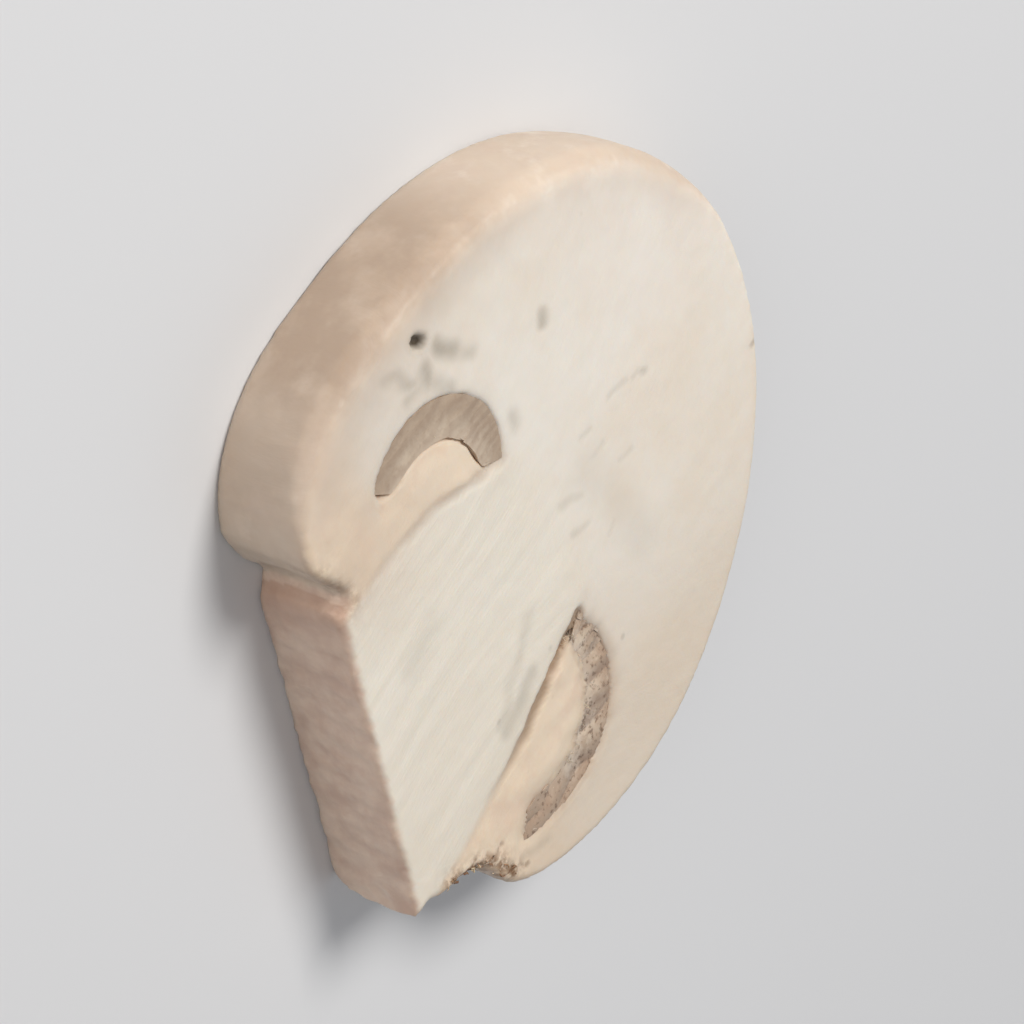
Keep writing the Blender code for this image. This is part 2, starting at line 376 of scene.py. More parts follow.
# How soon a zone dies down from its edge (mm), and how its edge wavers (height and length in mm)
zoneFades = {
    "rim": 0.28, "gillStain": 0.32, "web": 0.25, "pocket": 0.5, "seam": 0.5,
    "torn": 0.42, "tornLeft": 0.5, "foldShadow": 1.3,
}
zoneWaves = {
    "skinBlur": (1.0, 1.6), "skin": (0.06, 0.7), "bleedShade": (1.0, 2.6), "gillStain": (0.12, 0.6),
    "seam": (0.25, 1.1), "torn": (0.35, 0.6), "tornLeft": (0.3, 0.7),
    "smear": (0.35, 1.5), "smearEdge": (0.12, 0.8),
}

# Marks on the seen face: from, to (mm in the row frame), half width, strength, depth
marks = [
    ((-17.25, -2.15), (-16.9, -1.9), 0.34, 1.0, 0.30),
    ((-15.6, -1.2), (-14.6, -0.4), 0.46, 0.66, 0.03),
    ((-14.6, -0.5), (-13.5, 0.4), 0.44, 0.36, 0.02),
    ((-17.2, -4.8), (-16.6, -4.0), 0.32, 0.40, 0.02),
    ((-16.6, -4.0), (-15.6, -3.4), 0.38, 0.44, 0.02),
    ((-15.5, -2.5), (-14.7, -2.7), 0.48, 0.56, 0.03),
    ((-14.6, -2.6), (-13.3, -1.8), 0.44, 0.34, 0.02),
    ((-14.9, -3.1), (-15.1, -4.1), 0.32, 0.34, 0.02),
    ((-10.9, 5.2), (-10.4, 4.9), 0.34, 0.55, 0.03),
    ((-8.1, 0.9), (-7.5, 0.8), 0.42, 0.35, 0.02),
    ((-1.5, 9.2), (-1.3, 9.4), 0.24, 0.35, 0.02),
    ((5.1, 16.9), (5.3, 17.1), 0.18, 0.60, 0.03),
    ((5.7, -5.6), (6.6, -8.4), 0.46, 0.34, 0.03),
    ((2.4, -4.0), (5.9, -8.4), 0.40, 0.22, 0.02),
    ((-0.7, 3.3), (6.7, 4.8), 1.20, 0.12, 0.0),
    ((-3.7, -9.2), (-3.2, -11.0), 0.80, 0.16, 0.0),
    ((14.4, -11.4), (15.4, -9.6), 0.30, 0.24, 0.02),
    ((8.4, -2.0), (8.7, -2.1), 0.24, 0.85, 0.06),
    ((-2.6, 6.6), (-2.4, 7.9), 0.19, 0.21, 0.01),
    ((-2.0, 8.4), (-1.9, 9.0), 0.16, 0.19, 0.01),
    ((-2.4, 3.9), (-2.2, 4.8), 0.19, 0.19, 0.01),
    ((-0.8, 3.8), (-0.7, 4.9), 0.19, 0.20, 0.01),
    ((-0.4, 1.0), (0.2, 2.5), 0.22, 0.21, 0.01),
    ((1.6, 0.8), (2.0, 1.9), 0.19, 0.21, 0.01),
    ((1.2, 5.4), (1.3, 6.3), 0.16, 0.17, 0.01),
    ((4.3, 2.9), (4.0, 3.5), 0.16, 0.19, 0.01),
]
pitStrength = 0.8  # stronger marks are pits

# Radius and height (mm) along the stem's edge and the seam beside it, and the torn veil's edges in X and Y
stemEdges = {
    "right": ((5.4, 2.5), (6.7, 0.1), (7.05, -1.2), (7.9, -3.4), (8.7, -5.3), (9.4, -9.0), (9.6, -12.0)),
    "left": ((6.2, 2.5), (7.35, 0.5), (7.65, -0.6), (8.3, -2.2), (8.9, -3.7), (9.3, -6.5), (9.5, -12.0)),
}
seamPaths = {
    "right": ((6.5, 0.8), (6.7, 0.1), (7.05, -1.2), (7.9, -3.4), (8.7, -5.3), (9.3, -8.0), (9.5, -10.2)),
    "left": ((7.2, 1.0), (7.35, 0.5), (7.65, -0.6), (8.3, -2.2), (8.9, -3.7), (9.3, -6.5), (9.4, -10.0)),
}
tornRight = ((14.2, -12.4), (12.4, -13.0), (11.0, -14.2), (10.2, -15.8))
tornLeft = ((-13.0, -12.9), (-11.0, -12.5), (-9.7, -11.9), (-9.2, -12.6))
tornLines = (((12.2, -13.0), (12.0, -12.1)), ((13.9, -12.6), (15.0, -11.4)))


def distanceToMark(x, y, start, end):
    startX, startY = start
    spanX, spanY = end[0] - startX, end[1] - startY
    share = np.clip(((x - startX) * spanX + (y - startY) * spanY) / (spanX**2 + spanY**2), 0, 1)
    return np.hypot(x - startX - share * spanX, y - startY - share * spanY)


def distanceToPath(x, y, path):
    return np.min([distanceToMark(x, y, start, end) for start, end in zip(path, path[1:])], axis=0)


def stemEdgeAt(height, side):  # the stem's radius at this height
    radii, heights = zip(*reversed(stemEdges[side]))
    return np.interp(height, heights, radii)


def denseCopy(node):
    mesh = node.data.copy()
    body = bmesh.new()
    body.from_mesh(mesh)
    bmesh.ops.remove_doubles(body, verts=body.verts, dist=0.005 * mm)
    bmesh.ops.scale(body, vec=(1 / mm,) * 3, verts=body.verts)
    body.to_mesh(mesh)
    body.free()
    obj = addObject("flesh_draft", mesh)
    remesh = obj.modifiers.new("remesh", "REMESH")
    remesh.mode = "VOXEL"
    remesh.voxel_size = fleshShape["voxel"]
    soften = obj.modifiers.new("soften", "SMOOTH")
    soften.factor = 0.5
    soften.iterations = fleshShape["softEdges"]
    dense = evaluatedMesh(obj)
    bpy.data.objects.remove(obj)
    return dense


def wave(points, setting, seed):
    height, length = setting
    return height * noiseAt(points, length, seed)


def roundRim(normals, spot, fromFace, radius, down):  # soft edge of a cut face
    onFace = spot.flat * (np.sign(normals[:, 2]) == -down)
    fromWall = np.where(onFace > 0.5, spot.fromOutside, 0)
    share = np.clip(1 - np.maximum(fromWall, fromFace) / radius, 0, 1)
    turn = share * math.pi / 4
    less, more = radius * (1 - np.cos(turn)), radius * (share - np.sin(turn))
    inward = onFace * more + (1 - onFace) * less
    sunk = onFace * less + (1 - onFace) * more
    away = np.where((onFace > 0.5)[:, None], spot.wayOut, normals)[:, :2]
    away = away / np.maximum(np.linalg.norm(away, axis=1), 1e-4)[:, None]
    return np.concatenate([-away * inward[:, None], down * sunk[:, None]], axis=1)


def evenOut(mesh, moves, rounds):  # averages each point's move with those of its neighbours
    pairs = np.empty(len(mesh.edges) * 2, dtype=np.int32)
    mesh.edges.foreach_get("vertices", pairs)
    first, second = pairs.reshape(-1, 2).T
    neighbours = np.bincount(pairs, minlength=len(mesh.vertices))[:, None]
    for _ in range(rounds):
        total = np.zeros_like(moves)
        np.add.at(total, first, moves[second])
        np.add.at(total, second, moves[first])
        moves = (moves + total / neighbours) / 2
    return moves


def band(name, value):  # how far a value lies into a zone, from 0 to 1
    return smooth(*zoneBands[name], value)


def fade(name, away):  # 1 at the edge of a zone, dying down with the distance from it
    return np.exp(-np.maximum(away, 0) / zoneFades[name])


def bySide(spot, measure):  # the same measure taken for the right and the left of the stem
    return np.where(spot.rightward, measure("right"), measure("left"))


def findSpots(points, normals):  # where each point lies: heights, facings and distances to the walls
    limits = wallLimits
    spot = SimpleNamespace(rightward=points[:, 0] > 0)
    spot.x, depth, spot.height = toMushroom(points)
    spot.place, angle, spot.radius = pocketPlace(spot.x, depth, spot.height)
    spot.facing = np.abs(normals[:, 2])
    spot.flat = band("cutFace", spot.facing)
    spot.seen = spot.flat * (normals[:, 2] > 0)
    spot.seamAway = bySide(spot, lambda side: distanceToPath(spot.radius, spot.height, seamPaths[side]))

    # Sort the side walls: skin, gill pocket, seam beside the stem, and the trimmed end
    wall = spot.facing < limits["upright"]
    inner, outer = limits["pocketPlace"]
    pastMargin, pastStem = limits["pocketPast"]
    inPocket = (angle > growth["pocketFrom"] - pastMargin) & (angle < growth["pocketTo"] + pastStem)
    inPocket = inPocket & (spot.place < outer)
    inSeam = (spot.seamAway < limits["seamAway"]) & (spot.radius < limits["seamRadius"])
    tilt = growth["trimTilt"]
    overTrim = (spot.height + growth["trimDrop"]) * math.cos(tilt) + points[:, 0] * math.sin(tilt)
    atTrim = (overTrim < limits["trimAbove"]) & (spot.x > limits["trimLeft"])
    atTrim = atTrim & (spot.height < limits["trimHeight"])
    outside = wall & ~inPocket & ~inSeam
    spot.fromOutside, spot.wayOut = nearestTo(points, points[outside])
    spot.fromSkin = nearestTo(points, points[outside & ~atTrim])[0]
    spot.fromPocket = nearestTo(points, points[wall & inPocket & (spot.place > inner)])[0]
    spot.fromTrim = nearestTo(points, points[wall & atTrim])[0]
    return spot


def skinZones(points, spot):  # the skin, its blurred edge on the left, and the skin colour spread over the face by the rounded left rim as painted shade
    leftward = band("leftward", points[:, 0]) * band("overLeftMargin", points[:, 1])
    blurred = 0.32 + 0.65 * leftward * (0.6 + wave(points, zoneWaves["skinBlur"], 16.0))
    skin = smooth(blurred, -0.1, spot.fromSkin - wave(points, zoneWaves["skin"], 17.0))
    skin = np.where(spot.facing < 0.6, np.maximum(skin, band("skinWall", spot.fromSkin)), skin)
    # painted shade: the skin's colour spreads over the face beside the rounded left rim
    bleedShadeReach = 1.8 + wave(points, zoneWaves["bleedShade"], 19.0) + 1.3 * band("lowBleedShade", points[:, 1])
    bleedShade = np.exp(-np.maximum(spot.fromSkin - 0.3, 0) / bleedShadeReach) * leftward
    return leftward, skin, bleedShade


def tornZones(points, spot):  # the veil's torn edges, real brown with painted shadow along them, and painted shadow on the folded flesh below the left one
    rowX, rowY, rowZ = points.T
    rightAway = distanceToPath(rowX, rowY, tornRight) + wave(points, zoneWaves["torn"], 13.0)
    leftAway = distanceToPath(rowX, rowY, tornLeft) + wave(points, zoneWaves["tornLeft"], 14.0)
    # painted shadow along the torn edges, on their real brown
    torn = np.maximum(fade("torn", rightAway - 0.15), 0.36 * fade("tornLeft", leftAway))
    torn = torn * (0.3 + 0.7 * band("tornTop", rowZ))
    for start, end in tornLines:
        lineAway = distanceToMark(rowX, rowY, start, end)
        torn = np.maximum(torn, 0.55 * band("tornLine", lineAway) * spot.seen)
    # painted shadow on the flesh below the left torn edge
    return torn, fade("foldShadow", leftAway - 0.4) * (rowY < -12.6)


def findZones(points, spot):  # how strongly each zone of the flesh shows at each point
    rowX, rowY = points[:, 0], points[:, 1]
    zones = {"flatFace": spot.flat}
    spot.leftward, zones["skinZone"], zones["bleedShadeZone"] = skinZones(points, spot)
    zones["tornAndShadeZone"], zones["foldShadowZone"] = tornZones(points, spot)
    fromStem = spot.radius - bySide(spot, lambda side: stemEdgeAt(spot.height, side))
    outsideStem = band("outsideStem", fromStem)
    veil = outsideStem * band("veilPlace", spot.place) * band("veilTop", spot.height)
    underPocket = band("underPocket", spot.height) * outsideStem
    zones["veilZone"] = np.maximum(veil, underPocket * band("veilReach", spot.radius))
    zones["stemZone"] = band("inStem", fromStem) * band("stemTop", spot.height)
    zones["marginZone"] = band("marginTop", spot.height) * band("marginEdge", fromStem)
    zones["rimZone"] = fade("rim", spot.fromSkin) * spot.flat
    zones["trimZone"] = band("trim", spot.fromTrim)
    zones["gillStain"] = fade("gillStain", spot.fromPocket + wave(points, zoneWaves["gillStain"], 18.0))
    web = fade("web", spot.fromPocket) * band("webOuter", spot.place)
    zones["webZone"] = web * band("webInner", spot.place)

    seamAway = spot.seamAway + wave(points, zoneWaves["seam"], 12.0)
    spot.seamLine = band("seamLine", seamAway / (2 * fleshShape["seamWidth"]))
    spot.seamShare = band("seamEnd", spot.height) * np.where(spot.rightward, 1.0, fleshShape["leftSeam"])
    seam = np.maximum(spot.seamLine, 0.3 * fade("seam", spot.seamAway)) * spot.seamShare
    zones["seamStain"] = seam * (1 - zones["skinZone"]) * (spot.radius < 10.5)

    # painted shade: the face grows darker towards the lower right
    zones["shadeZone"] = band("shade", rowX - 0.25 * rowY)
    # left shoulder of the skin: browner there, with painted shade laid on it
    shoulder = band("shoulder", rowX) * band("shoulderTop", rowY)
    zones["shoulderTanShade"] = shoulder * (0.55 + 0.45 * band("shoulderLow", rowY))
    # painted light: the top of the face is whiter
    zones["topLightZone"] = band("topLight", rowY) * band("topLightLeft", rowX)
    halfWidth, slope, fanFrom, fanBlur = fleshShape["fibreSpread"]
    fan = np.logaddexp(0, (spot.height - fanFrom) / fanBlur) * fanBlur
    zones["fibreAcross"] = spot.x / (halfWidth + slope * fan)
    return zones


def findMarks(points, seen):  # smears and pits, and how deep each is
    rowX, rowY = points[:, 0], points[:, 1]
    smearX = rowX + wave(points, zoneWaves["smear"], 3.1)
    smearY = rowY + wave(points, zoneWaves["smear"], 33.1)
    ragged = wave(points, zoneWaves["smearEdge"], 23.1)
    marked, pit, sink = np.zeros((3, len(points)))
    for start, end, halfWidth, strength, hollow in marks:
        if strength > pitStrength:
            away = distanceToMark(rowX, rowY, start, end) / halfWidth
            inside = band("pit", away) * seen
            pit = np.maximum(pit, inside * strength)
            marked = np.maximum(marked, 0.6 * band("pitHalo", away) * seen)
        else:
            away = distanceToMark(smearX, smearY, start, end) / halfWidth + ragged
            inside = band("smear", away) * seen
            marked = np.maximum(marked, inside * strength)
        sink += inside * hollow
    return marked, pit, sink


def findRelief(points, zones, spot):  # fine relief; the pocket's walls close in a little on the gills
    shape, flat, wall = fleshShape, spot.flat, 1 - spot.flat

    def bumps(name, seed, at=points):
        return wave(at, shape[name], seed)

    across = zones["fibreAcross"] * shape["fibreSpread"][0]
    stretched = np.stack([across, points[:, 1] / 7, points[:, 2]], axis=1)
    push = flat * (1 - zones["skinZone"]) * (bumps("faceWave", 1.0) + bumps("faceGrain", 2.0))
    push += flat * zones["stemZone"] * bumps("stemFibre", 4.0, stretched)
    push += wall * (bumps("skinWave", 5.0) + bumps("skinGrain", 6.0))
    sunk = shape["veilSink"] * band("veilSink", spot.fromPocket) * flat
    push += zones["veilZone"] * (bumps("veilLump", 7.0) - sunk)
    push += fade("pocket", spot.fromPocket) * (shape["pocketClose"] * wall + bumps("pocketRag", 8.0))
    push += zones["trimZone"] * bumps("baseRough", 9.0)
    push -= shape["seamDepth"] * spot.seamLine * spot.seamShare * flat
    return push + zones["tornAndShadeZone"] * bumps("tornRag", 15.0)


def makeFlesh():
    mesh = denseCopy(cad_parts["cap_and_stem"])
    points, normals = readPoints(mesh), readPoints(mesh, "normal")
    spot = findSpots(points, normals)
    zones = findZones(points, spot)
    zones["marked"], zones["pit"], sink = findMarks(points, spot.seen)
    push = findRelief(points, zones, spot) - sink
    seenRadius = fleshShape["rimRound"] + fleshShape["rimRoundLeft"] * spot.leftward
    rounded = roundRim(normals, spot, faceLevel - points[:, 2], seenRadius, -1)
    rounded += roundRim(normals, spot, points[:, 2], fleshShape["farRimRound"], 1)
    points = points + evenOut(mesh, rounded, fleshShape["rimEven"]) + normals * push[:, None]
    points[:, 2] = np.clip(points[:, 2], 0.0, None)
    writePoints(mesh, points * mm)
    for name, values in zones.items():
        storeMask(mesh, name, values)
    mesh.shade_smooth()
    flesh = addObject("mushroom_flesh", mesh)
    print("stage: flesh,", len(mesh.polygons), "faces")
    return flesh


flesh = makeFlesh()


def makeStreaks():  # fibres along Y; Across is the flesh's own measure across them
    group, given, made = newGroup(
        "fibreStreaks",
        [
            ("Across", "Float", 0.0), ("Along", "Vector", None),
            ("Fineness", "Float", 40.0), ("Length", "Float", 120.0),
        ],
        [("Streak", "Float"), ("Fine", "Float")],
    )
    split = addNode(group, "ShaderNodeSeparateXYZ", {0: given["Along"]})
    across = calc(group, "MULTIPLY", given["Across"], given["Fineness"])
    along = calc(group, "MULTIPLY", split.outputs["Y"], given["Length"])
    through = calc(group, "MULTIPLY", split.outputs["Z"], 300.0)
    place = addNode(group, "ShaderNodeCombineXYZ", {0: across, 1: along, 2: through}).outputs[0]
    broad = addNode(
        group, "ShaderNodeTexNoise", {"Vector": place, "Scale": 1.0, "Detail": 3.0, "Distortion": 0.4},
    )
    fine = addNode(group, "ShaderNodeTexNoise", {"Vector": place, "Scale": 3.7, "Detail": 4.0})
    streak = addNode(group, "ShaderNodeMapRange", {0: broad.outputs[0], 1: 0.42, 2: 0.68})
    group.links.new(streak.outputs[0], made["Streak"])
    group.links.new(fine.outputs[0], made["Fine"])
    return group


def makeBlotches():
    group, given, made = newGroup(
        "softBlotches",
        [("Place", "Vector", None), ("Size", "Float", 3.0), ("From", "Float", 0.45), ("To", "Float", 0.65)],
        [("Mask", "Float")],
    )
    scale = calc(group, "DIVIDE", 1000.0, given["Size"])
    cloud = addNode(
        group, "ShaderNodeTexNoise",
        {"Vector": given["Place"], "Scale": scale, "Detail": 4.0, "Roughness": 0.6},
    )
    mask = addNode(
        group, "ShaderNodeMapRange", {0: cloud.outputs[0], 1: given["From"], 2: given["To"]},
        interpolation_type="SMOOTHSTEP",
    )
    group.links.new(mask.outputs[0], made["Mask"])
    return group


def makeSpecks():
    group, given, made = newGroup(
        "tinySpecks",
        [
            ("Place", "Vector", None), ("Spacing", "Float", 1.0),
            ("Size", "Float", 0.25), ("Share", "Float", 0.3),
        ],
        [("Mask", "Float")],
    )
    scale = calc(group, "DIVIDE", 1000.0, given["Spacing"])
    cells = addNode(group, "ShaderNodeTexVoronoi", {"Vector": given["Place"], "Scale": scale})
    draw = addNode(group, "ShaderNodeSeparateColor", {0: cells.outputs["Color"]}).outputs[0]
    chosen = calc(group, "LESS_THAN", draw, given["Share"])
    spot = addNode(group, "ShaderNodeMapRange", {0: cells.outputs["Distance"], 1: given["Size"], 2: 0.04})
    group.links.new(calc(group, "MULTIPLY", chosen, spot.outputs[0]), made["Mask"])
    return group


fibreStreaks = makeStreaks()
softBlotches = makeBlotches()
tinySpecks = makeSpecks()
print("stage: shader groups")


fleshLook = {
    "white": srgb(232, 226, 216),
    "warm": srgb(228, 217, 202),
    # painted shade for the lower right of the face
    "shade": srgb(212, 197, 178),
    # painted light for the top of the face
    "topLight": srgb(238, 232, 225),
    "stemWhite": srgb(230, 223, 209),
    "stemStreak": srgb(212, 202, 184),
    "veil": srgb(230, 211, 187),
    "veilPink": srgb(220, 194, 172),
    "margin": srgb(217, 194, 168),
    "stain": srgb(182, 152, 126),
    "seam": srgb(148, 118, 90),
    "mark": srgb(150, 142, 126),
    "pit": srgb(74, 62, 46),
    # torn veil edge: real brown, with painted shadow along it
    "torn": srgb(126, 94, 66),
    "rim": srgb(208, 176, 144),
    "skin": srgb(213, 196, 178),
    "skinBrown": srgb(199, 176, 154),
    "skinPink": srgb(208, 187, 170),
    "skinPale": srgb(225, 212, 197),
    # painted shade on the left skin, over its real darker tan
    "skinShade": srgb(178, 157, 138),
    "trim": srgb(214, 189, 170),
    "trimDark": srgb(194, 162, 144),
    # painted shadow under the left margin's fold
    "trimFoldShadow": srgb(182, 144, 124),
    "roughness": (0.44, 0.64),
    "scatter": 0.35,
    "scatterReach": (1.0, 0.72, 0.5),
    "scatterScale": 1.3 * mm,
    "stemFibres": (11.0, 130.0),  # fineness across and along
    "capFibres": (26.0, 520.0),
    "darkSpecks": (2.6, 0.10, 0.2),  # spacing (mm), size and share of the places that have one
    "skinSpecks": (0.7, 0.3, 0.3),
}

# Blotches on the flesh: size (mm), where the noise starts and is full, and a shift (mm) that sets each apart
fleshBlotches = {
    "warm": (8.0, 0.35, 0.70, 0.0),
    "smear": (2.6, 0.25, 0.75, 11.0),
    "crumb": (0.55, 0.36, 0.60, 3.0),
    "veilPink": (2.0, 0.45, 0.66, 9.0),
    "rim": (0.9, 0.36, 0.6, 4.0),
    "skinBrown": (6.0, 0.38, 0.66, 2.0),
    "skinPink": (3.2, 0.45, 0.7, 5.0),
    "skinPale": (2.6, 0.52, 0.72, 14.0),
    "skinShade": (4.0, 0.36, 0.62, 21.0),
    "trimDark": (2.4, 0.38, 0.66, 6.0),
    "sheen": (1.1, 0.3, 0.7, 7.0),
}


def makeFleshMaterial():
    look = fleshLook
    material = bpy.data.materials.new("mushroom_flesh_cut")
    material.use_nodes = True
    tree = material.node_tree
    shader = tree.nodes["Principled BSDF"]
    place = addNode(tree, "ShaderNodeTexCoord").outputs["Object"]
    across = maskOf(tree, "fibreAcross")

    def mask(name):
        return maskOf(tree, name)

    def blotch(name):
        size, low, high, shift = fleshBlotches[name]
        moved = addNode(tree, "ShaderNodeMapping", {"Vector": place, "Location": (shift * mm, 0, 0)})
        given = {"Place": moved.outputs[0], "Size": size, "From": low, "To": high}
        return useGroup(tree, softBlotches, given)[0]

    def specks(name):
        spacing, size, share = look[name]
        given = {"Place": place, "Spacing": spacing, "Size": size, "Share": share}
        return useGroup(tree, tinySpecks, given)[0]

    def fibres(name):
        fineness, length = look[name]
        given = {"Across": across, "Along": place, "Fineness": fineness, "Length": length}
        return useGroup(tree, fibreStreaks, given)

    def times(*values):
        total = values[0]
        for value in values[1:]:
            total = calc(tree, "MULTIPLY", total, value)
        return total

    def paint(base, tint, *shares):  # lays one of the look's colours over what is there
        return mixColour(tree, times(*shares), base, look[tint])

    stemFibres, capFibres = fibres("stemFibres"), fibres("capFibres")
    crumb = blotch("crumb")
    colour = paint(look["white"], "warm", blotch("warm"))
    # painted shade towards the lower right of the face
    colour = paint(colour, "shade", mask("shadeZone"), 0.8)
    # painted light: whiter at the top of the face
    colour = paint(colour, "topLight", mask("topLightZone"), 0.55)
    colour = paint(colour, "warm", capFibres["Streak"], 0.16)
    colour = paint(colour, "stemWhite", mask("stemZone"), 0.7)
    colour = paint(colour, "stemStreak", mask("stemZone"), stemFibres["Streak"], 0.22)
    colour = paint(colour, "margin", mask("marginZone"), 0.55)
    colour = paint(colour, "veil", mask("veilZone"), 0.85)
    colour = paint(colour, "veilPink", mask("veilZone"), blotch("veilPink"), 0.5)
    colour = paint(colour, "stain", mask("gillStain"), 0.7)
    colour = paint(colour, "seam", mask("seamStain"), 0.8)
    colour = paint(colour, "mark", specks("darkSpecks"), mask("flatFace"), 0.3)
    smear = calc(tree, "ADD", times(blotch("smear"), 0.4), 0.7)
    colour = paint(colour, "mark", mask("marked"), smear)
    colour = paint(colour, "rim", mask("rimZone"), blotch("rim"), 0.75)

    browned = calc(tree, "ADD", times(mask("shoulderTanShade"), 0.5), 0.3)
    skin = paint(look["skin"], "skinBrown", blotch("skinBrown"), browned)
    skin = paint(skin, "skinPink", blotch("skinPink"), 0.6)
    skin = paint(skin, "skinPale", blotch("skinPale"), 0.7)
    skin = paint(skin, "skinBrown", specks("skinSpecks"), 0.25)
    # painted shade on the left skin, partly its real darker tan
    shaded = calc(tree, "ADD", times(blotch("skinShade"), 0.5), 0.5)
    skin = paint(skin, "skinShade", mask("shoulderTanShade"), shaded)
    # painted shade: skin colour over the face's rounded left rim
    colour = mixColour(tree, times(mask("bleedShadeZone"), 0.8), colour, skin)
    colour = mixColour(tree, mask("skinZone"), colour, skin)

    trimmed = paint(look["trim"], "trimDark", blotch("trimDark"))
    trimmed = paint(trimmed, "trimDark", crumb, 0.25)
    # painted shadow on the trimmed end under the left margin's fold
    trimmed = paint(trimmed, "trimFoldShadow", mask("foldShadowZone"), 0.75)
    colour = mixColour(tree, times(mask("trimZone"), 0.85), colour, trimmed)
    # painted shadow along the torn veil edges, on their real brown
    colour = paint(colour, "torn", mask("tornAndShadeZone"), crumb)
    colour = paint(colour, "pit", mask("pit"))
    tree.links.new(colour, shader.inputs["Base Color"])

    smoothest, roughest = look["roughness"]
    rough = addNode(tree, "ShaderNodeMapRange", {0: blotch("sheen"), 3: smoothest, 4: roughest})
    tree.links.new(rough.outputs[0], shader.inputs["Roughness"])

    grain = addNode(
        tree, "ShaderNodeTexNoise", {"Vector": place, "Scale": 2600.0, "Detail": 5.0, "Roughness": 0.65},
    ).outputs[0]
    pores = addNode(tree, "ShaderNodeTexNoise", {"Vector": place, "Scale": 900.0, "Detail": 3.0}).outputs[0]
    height = calc(tree, "ADD", times(grain, 0.35), times(pores, 0.5))
    height = calc(tree, "ADD", height, times(stemFibres["Fine"], mask("stemZone"), 0.8))
    height = calc(tree, "ADD", height, times(capFibres["Fine"], 0.5))
    bump = addNode(tree, "ShaderNodeBump", {"Height": height, "Strength": 0.45, "Distance": 0.06 * mm})
    tree.links.new(bump.outputs[0], shader.inputs["Normal"])

    shader.inputs["Subsurface Weight"].default_value = look["scatter"]
    shader.inputs["Subsurface Radius"].default_value = look["scatterReach"]
    shader.inputs["Subsurface Scale"].default_value = look["scatterScale"]
    shader.inputs["Specular IOR Level"].default_value = 0.4
    return material


flesh.data.materials.clear()
flesh.data.materials.append(makeFleshMaterial())
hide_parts("cap_and_stem")
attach(flesh, "root")
print("stage: flesh material")


gillRow = {
    "first": math.radians(-22),
    "last": math.radians(31),
    "pitch": {"right": math.radians(1.0), "left": math.radians(0.8)},
    "jitter": math.radians(0.10),
    "thickness": {"right": 0.125, "left": 0.19},  # at the middle of the pocket
    "freeEdge": {"right": 0.4, "left": 0.85},  # share of the thickness left at the free edge
    "rootSink": 0.35,  # how far the root runs into the cap's flesh
    "tuck": {"right": 0.12, "left": 0.28},  # how far the free edge runs into the veil
    "steps": 22,
    "reach": {"right": (150, 60, 140, 20), "left": (160, 150)},  # degrees in from the margin, gill by gill
    "reachBlur": (0.25, -0.35),
    "stub": 0.06,  # what is left of a gill past its reach
    "fray": 0.2,
    "ripple": 0.06,
    "recess": 0.08,  # below the cut faces
    "unevenCut": {"right": 0.18, "left": 0.01},
    "waviness": 0.012,
    "sharpFrom": math.radians(35),
}


def crescentPoint(angle, inset):
    centre, reach = growth["pocketCentre"], growth["pocketReach"]
    return (
        centre[0] + (reach[0] - inset) * math.cos(angle),
        centre[1] + (reach[1] - inset) * math.sin(angle),
    )


def gillBlade(side):  # one gill, standing in the XZ plane of the upright mushroom
    row = gillRow
    steps = row["steps"]
    body = bmesh.new()
    rings = []
    for step in range(steps + 1):
        angle = growth["pocketTo"] + (growth["pocketFrom"] - growth["pocketTo"]) * step / steps
        free = growth["pocketDepth"] * float(pocketFill(np.array(angle))) + row["tuck"][side]
        root = crescentPoint(angle, -row["rootSink"])
        middle = crescentPoint(angle, free * 0.5)
        edge = crescentPoint(angle, free)
        half = row["thickness"][side] / 2 * middle[0] / growth["pocketCentre"][0]
        thin = half * row["freeEdge"][side]
        rings.append([
            body.verts.new((root[0], half, root[1])),
            body.verts.new((middle[0], half, middle[1])),
            body.verts.new((edge[0], thin, edge[1])),
            body.verts.new((edge[0], -thin, edge[1])),
            body.verts.new((middle[0], -half, middle[1])),
            body.verts.new((root[0], -half, root[1])),
        ])
    for near, far in zip(rings, rings[1:]):
        for index in range(6):
            after = (index + 1) % 6
            body.faces.new((near[index], near[after], far[after], far[index]))
    body.faces.new(rings[0][::-1])
    body.faces.new(rings[-1])
    bmesh.ops.recalc_face_normals(body, faces=body.faces)
    mesh = bpy.data.meshes.new("gill_blade")
    body.to_mesh(mesh)
    body.free()
    return mesh


